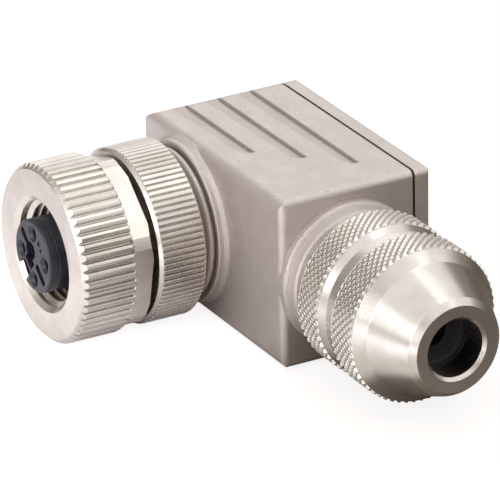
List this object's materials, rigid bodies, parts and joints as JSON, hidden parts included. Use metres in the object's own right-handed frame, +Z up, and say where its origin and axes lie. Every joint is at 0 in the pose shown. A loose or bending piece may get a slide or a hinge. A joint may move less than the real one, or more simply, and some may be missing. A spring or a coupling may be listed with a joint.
{
  "type": "right-angled circular cable connector",
  "caption": "Right-angled metal circular connector: threaded coupling nut over a keyed socket insert, square housing with a screwed cover, and a knurled cable gland.",
  "frame": {"origin": "on the axis of the round socket, in the plane of the coupling nut's front face", "axes": "-Y is the way the socket faces, +X is the way the cable leaves, +Z is up"},
  "size_m": [0.0547, 0.0379, 0.0204],
  "materials": {
    "nickel_parts": "bright nickel plate on turned brass",
    "cast_body": "satin nickel plate on die-cast metal",
    "dark_plastic": "moulded, satin",
    "pale_plastic": "moulded, satin",
    "rubber_parts": "black moulded rubber",
    "contact_metal": "gold flash on brass"
  },
  "bodies": {
    "housing": {"insert_front": "dark_plastic", "insert_rear": "pale_plastic", "contact_1": "contact_metal", "contact_2": "contact_metal", "contact_3": "contact_metal", "contact_4": "contact_metal", "terminal_screws": "nickel_parts", "carrier_sleeve": "nickel_parts", "mating_seal": "rubber_parts", "sleeve_seal": "rubber_parts", "angle_housing": "cast_body", "housing_cover": "cast_body", "cover_gasket": "rubber_parts", "cover_screws": "nickel_parts", "gland_collar": "nickel_parts", "gland_seal_ring": "rubber_parts", "shield_spring": "contact_metal", "clamping_cage": "pale_plastic", "cable_seal": "rubber_parts"},
    "nut_carrier": {"nut_washer": "pale_plastic"},
    "coupling_nut": {"coupling_nut": "nickel_parts"},
    "ring_carrier": {"pressure_washer": "nickel_parts"},
    "locking_ring": {"locking_ring": "nickel_parts"},
    "clamp_carrier": {"thrust_washer": "nickel_parts"},
    "clamp_nut": {"clamp_nut": "nickel_parts"}
  },
  "joints": [
    {"name": "nut_play", "type": "slide", "parent": "housing", "child": "nut_carrier", "axis": [0, 1, 0], "range_m": [0, 0.0003]},
    {"name": "nut_turn", "type": "hinge", "parent": "nut_carrier", "child": "coupling_nut", "pos_m": [0, 0, 0], "axis": [0, -1, 0], "continuous": true},
    {"name": "ring_travel", "type": "slide", "parent": "housing", "child": "ring_carrier", "axis": [0, -1, 0], "range_m": [0, 0.00026]},
    {"name": "ring_turn", "type": "hinge", "parent": "ring_carrier", "child": "locking_ring", "pos_m": [0, 0.0125, 0], "axis": [0, -1, 0], "range_deg": [0, 120]},
    {"name": "clamp_travel", "type": "slide", "parent": "housing", "child": "clamp_carrier", "axis": [1, 0, 0], "range_m": [0, 0.0041]},
    {"name": "clamp_turn", "type": "hinge", "parent": "clamp_carrier", "child": "clamp_nut", "pos_m": [0.035, 0.0264, 0], "axis": [1, 0, 0], "range_deg": [0, 1440]}
  ],
  "couplings": [
    {"joint": "ring_travel", "follows": "ring_turn", "m_per_rad": 0.00011937},
    {"joint": "clamp_travel", "follows": "clamp_turn", "m_per_rad": 0.00015915}
  ]
}
